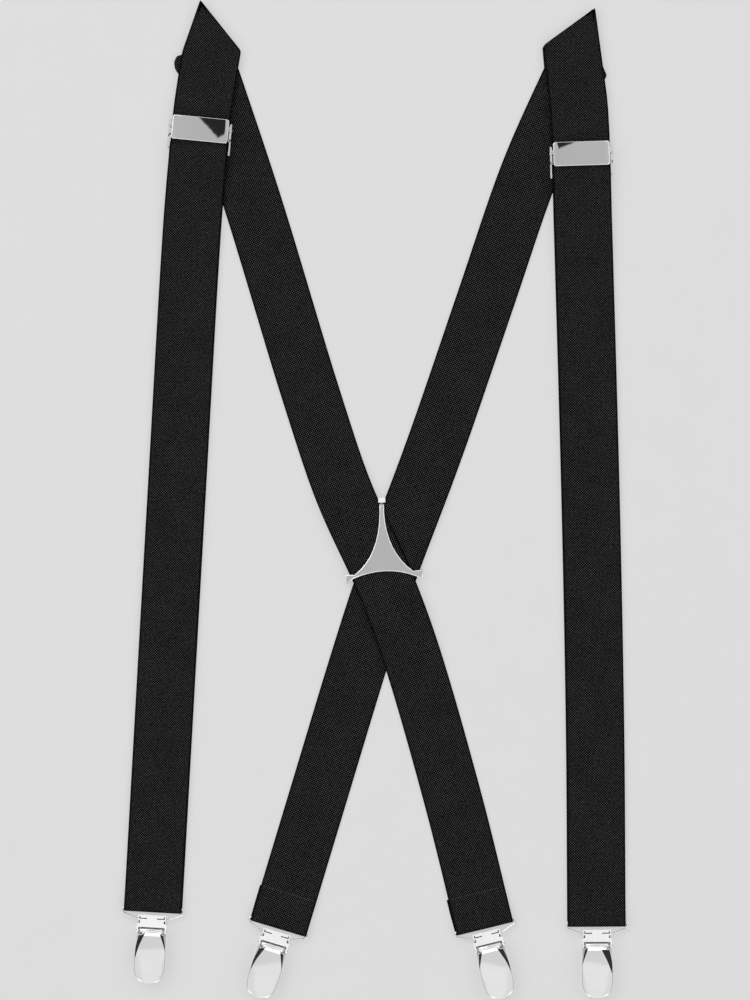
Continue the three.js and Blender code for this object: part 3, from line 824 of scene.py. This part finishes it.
def top_outline(node):
    """The outline, in order, of a CAD node's highest flat face."""
    mesh = NODES[node].data
    top = max(vertex.co.z for vertex in mesh.vertices)
    corner_of = {}

    def corner(index):
        place = tuple(round(value, 7) for value in mesh.vertices[index].co)
        return corner_of.setdefault(place, len(corner_of))

    uses = {}
    for face in mesh.polygons:
        if all(abs(mesh.vertices[i].co.z - top) < 1e-6 for i in face.vertices):
            ring = [corner(i) for i in face.vertices]
            for a, b in zip(ring, ring[1:] + ring[:1]):
                uses[(a, b)] = True
    edges = {a: b for a, b in uses if (b, a) not in uses}
    places = {index: Vector(place) for place, index in corner_of.items()}
    first = here = next(iter(edges))
    outline = []
    while True:
        outline.append(places[here])
        here = edges[here]
        if here == first:
            return outline, top


def inset_outline(outline, distance):
    """A closed outline moved inwards, with its nearly straight corners left out."""
    kept = []
    for i, here in enumerate(outline):
        before, after = here - outline[i - 1], outline[(i + 1) % len(outline)] - here
        if before.length > 1e-6 and after.length > 1e-6:
            kept.append(here)
    area = sum(kept[i - 1].x * kept[i].y - kept[i].x * kept[i - 1].y for i in range(len(kept)))
    moved = []
    for i, here in enumerate(kept):
        before = (here - kept[i - 1]).normalized()
        after = (kept[(i + 1) % len(kept)] - here).normalized()
        normal = (Vector((-before.y, before.x, 0)) + Vector((-after.y, after.x, 0))).normalized()
        share = max(normal.dot(Vector((-before.y, before.x, 0))), 0.5)
        moved.append(here + normal * (distance / share * (1 if area > 0 else -1)))
    return moved


def close_points(outline, step):
    """A closed outline with further points between those that lie more than a step apart."""
    points = []
    for i, here in enumerate(outline):
        after = outline[(i + 1) % len(outline)]
        parts = max(1, math.ceil((after - here).length / step))
        points += [here.lerp(after, n / parts) for n in range(parts)]
    return points


CROSSPATCH_RIM = 0.42 * MM


def crosspatch_rim():
    """The front plate's rolled edge."""
    outline, top = top_outline("crosspatch_front_plate")
    radius = CROSSPATCH_RIM
    flat = [Vector((corner.x, corner.y, 0)) for corner in inset_outline(outline, radius * 0.9)]
    made = wire("crosspatch_rim", flat, radius, EDGE, top - radius * 0.55)
    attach(made, "back")


COVER_CROWN = (0.44, 0.11)  # its fall from the middle to the ends and to the long sides
COVER_LEAN = {  # its rise from the middle to the +X end and to the upper side
    "left": (0.36, -0.1),
    "right": (-0.36, 0.1),
}
COVER_CURL = (0.88, 0.25)  # where its ends start to curl down, as a share of their reach, and how far
COVER_LIFT, COVER_LEAST = 0.86, 0.04  # of its middle over the cover's plate, and of any other place
COVER_STEP = 0.8 * MM  # between the points round its edge
COVER_RIM = 0.4
COVER_SHARES = (1.0, 0.97, 0.94, 0.91, 0.88, 0.8, 0.68, 0.52, 0.36, 0.2, 0.05)  # its rings, from the rim


def cover_trim(side):
    """The adjuster cover's crowned and leaning face, and the rolled edge round it."""
    node = side + "_adjuster_cover"
    outline, top = top_outline(node)
    place = joint_frame(JOINTS[side + "_adjuster_cover_tilt"])
    back = place.inverted()
    flat = [back @ Vector((corner.x, corner.y, 0)) for corner in outline]
    rim_line = inset_outline(flat, COVER_RIM * MM * 0.8)
    middle = sum(rim_line, Vector()) / len(rim_line)
    rim = wire(node + "_rim", rim_line, COVER_RIM * MM, EDGE, top - 0.1 * MM, place)
    edge = close_points(rim_line, COVER_STEP)
    centre = place @ middle
    spread = [place @ corner - centre for corner in edge]
    half_x, half_y = max(corner.x for corner in spread), max(corner.y for corner in spread)
    curl_from, curl = COVER_CURL
    points = [centre + Vector((x, y, 0)) + UP * (top - 0.4 * MM - centre.z) for x, y, _ in spread]
    for share in COVER_SHARES:
        for x, y, _ in spread:
            u, v = share * x / half_x, share * y / half_y
            fall = COVER_CROWN[0] * u * u + COVER_CROWN[1] * v * v
            fall -= COVER_LEAN[side][0] * u + COVER_LEAN[side][1] * v
            fall += curl * (max(0.0, abs(u) - curl_from) / (1 - curl_from)) ** 2
            height = max(COVER_LIFT - fall, COVER_LEAST)
            points.append(Vector((centre.x + share * x, centre.y + share * y, top + height * MM)))
    faces = ring_faces(len(COVER_SHARES) + 1, len(edge), False)
    # the cover's face in the darker copy of the chrome: painted shade
    panel = piece(node + "_face", points, faces, SHADED_CHROME, sharp=50)
    for made in (rim, panel):
        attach(made, node)


def dress(node, material, bevel):
    """A CAD node shown as it is, with eased edges."""
    shown = NODES[node]
    shown.data.materials.clear()
    shown.data.materials.append(material)
    merge = shown.modifiers.new("merge", "WELD")
    merge.merge_threshold = 1e-6
    ease = shown.modifiers.new("ease", "BEVEL")
    ease.width = bevel
    ease.segments = 2
    ease.limit_method = "ANGLE"
    ease.angle_limit = math.radians(35)
    ease.harden_normals = False
    shown.data.shade_smooth()
    smooth = shown.modifiers.new("flat faces", "WEIGHTED_NORMAL")
    smooth.keep_sharp = True


build_straps()
for clip in CLIPS:
    clip_loop(clip)
    lever(clip)
crosspatch_rim()
for side in SIDES:
    cover_trim(side)
FINISHES = {"chrome": CHROME, "panel": SHADED_CHROME, "satin": SATIN, "steel": STEEL, "grip": GRIP}
for node in NODES:
    if "strap" in node or node.endswith(("_loop", "_lever")):
        continue
    kind = "chrome"
    if node.endswith("_back_plate"):
        kind = "satin"
    if node == "crosspatch_front_plate":
        # the crosspatch plate takes the darker copy of the chrome: painted shade
        kind = "panel"
    if node.endswith(("_pin", "_bar", "_front_jaw")):
        kind = "steel"
    if node.endswith("_pad"):
        kind = "grip"
    dress(node, FINISHES[kind], 0.1 * MM if kind == "satin" else 0.2 * MM)


# ---- Stage ----
FLOOR_SHADES, FLOOR_GLOW = (0.245, 0.255), 0.48
FLOOR_REACH, FLOOR_HEIGHT = 12.0, -0.3 * MM


def floor():
    """An even grey surface that gives some of its own light, so that little shadow falls on it."""
    material, shader, surface = new_material("floor")
    place = shader.add("NewGeometry").outputs["Position"]
    speck = shader.noise(place, 40.0, 2.0)
    shader.feed(surface.inputs["Base Color"], shader.grey(shader.mix(speck, *FLOOR_SHADES)))
    surface.inputs["Emission Color"].default_value = (1, 1, 1, 1)
    surface.inputs["Emission Strength"].default_value = FLOOR_GLOW
    surface.inputs["Roughness"].default_value = 0.9
    surface.inputs["Specular IOR Level"].default_value = 0.1
    mesh = bpy.data.meshes.new("floor")
    corners = [(-1, -1), (1, -1), (1, 1), (-1, 1)]
    points = [(x * FLOOR_REACH, y * FLOOR_REACH, FLOOR_HEIGHT) for x, y in corners]
    mesh.from_pydata(points, [], [(0, 1, 2, 3)])
    mesh.materials.append(material)
    made = bpy.data.objects.new("floor", mesh)
    bpy.context.scene.collection.objects.link(made)


# Brightnesses, and where each part of the room eases into the next: in x / z and y / z of the direction
# that a surface mirrors, or in z itself for the foot of the walls and the horizon.
OVERHEAD, OVERHEAD_EDGE = (0.87, 0.72), (-0.056, -0.044)
ROOM, ROOM_EDGE = 0.78, (0.16, 0.28)
WINDOWS, WINDOWS_EDGE = 1.35, (0.9, 1.25)
SKIRTING, SKIRTING_EDGE = 0.03, (0.34, 0.4)
BELOW, HORIZON = 0.7, (-0.02, 0.0)
FIGURE, FIGURE_END, FIGURE_WOBBLE = 0.03, (0.24, 0.27), 0.012
FIGURE_SIDES = [  # (direction across each side of the dark shape, and where it eases in)
    (0.76, 0.65, 0.024, 0.03),
    (-0.47, 0.88, 0.051, 0.057),
]


def sky():
    """A pale room as polished metal mirrors it: a ceiling in two greys, bright walls with a dark foot, and
    one dark shape with a point."""
    world = bpy.data.worlds.new("studio")
    bpy.context.scene.world = world
    world.use_nodes = True
    shader = Shader(world.node_tree)
    direction = shader.add("TexCoord").outputs["Generated"]
    x, y, z = shader.add("SeparateXYZ", {0: direction}).outputs
    height = shader.math("MAXIMUM", z, 0.02)
    right, ahead = shader.math("DIVIDE", x, height), shader.math("DIVIDE", y, height)
    squares = shader.math("POWER", right, 2.0), shader.math("POWER", ahead, 2.0)
    off = shader.math("SQRT", shader.math("ADD", *squares))

    def ease(value, start, end, low, high):
        ends = {0: value, 1: start, 2: end, 3: low, 4: high}
        return shader.add("MapRange", ends, interpolation_type="SMOOTHSTEP").outputs[0]

    middle = ease(ahead, *OVERHEAD_EDGE, *OVERHEAD)
    ceiling = ease(shader.math("ABSOLUTE", right), *ROOM_EDGE, middle, ROOM)
    walls = ease(off, *WINDOWS_EDGE, ceiling, WINDOWS)
    wobble = shader.math("MULTIPLY", shader.noise(direction, 30.0, 2.0), FIGURE_WOBBLE)
    figure = 1.0
    for by_right, by_ahead, start, end in FIGURE_SIDES:
        slant = shader.math(
            "ADD", shader.math("MULTIPLY", right, by_right), shader.math("MULTIPLY", ahead, by_ahead)
        )
        edge = ease(shader.math("SUBTRACT", slant, wobble), start, end, 0.0, 1.0)
        figure = shader.math("MULTIPLY", figure, edge)
    figure = shader.math("MULTIPLY", figure, ease(ahead, *FIGURE_END, 1.0, 0.0))
    figured = shader.mix(figure, walls, FIGURE)
    lit = ease(z, *SKIRTING_EDGE, SKIRTING, figured)
    below = ease(z, *HORIZON, BELOW, lit)
    background = shader.add("Background", {"Color": shader.grey(below), "Strength": 1.0})
    output = shader.add("OutputWorld")
    shader.tree.links.new(background.outputs[0], output.inputs["Surface"])


def softbox(name, place, size, power):
    data = bpy.data.lights.new(name, "AREA")
    data.shape = "RECTANGLE"
    data.size, data.size_y = size
    data.energy = power
    made = bpy.data.objects.new(name, data)
    made.location = place
    made.rotation_mode = "QUATERNION"
    made.rotation_quaternion = (-Vector(place)).to_track_quat("-Z", "Y")
    bpy.context.scene.collection.objects.link(made)


def camera():
    """Straight down from 3 m, framed as the photograph: 0.6034 mm to the pixel at 750 by 1000."""
    distance, pixel = 3.0, 0.6034 * MM
    data = bpy.data.cameras.new("camera")
    data.sensor_width = 36.0
    data.lens = 36.0 * (distance - 2 * MM) / (1000 * pixel)
    made = bpy.data.objects.new("camera", data)
    made.location = (0.5 * pixel - 0.02 * MM, 0.25 * pixel + 0.1 * MM, distance)
    bpy.context.scene.collection.objects.link(made)
    bpy.context.scene.camera = made


floor()
sky()
softbox("key", (-1.2, 1.0, 1.8), (1.2, 1.2), 9.0)
camera()
bpy.context.scene.view_settings.view_transform = "Standard"
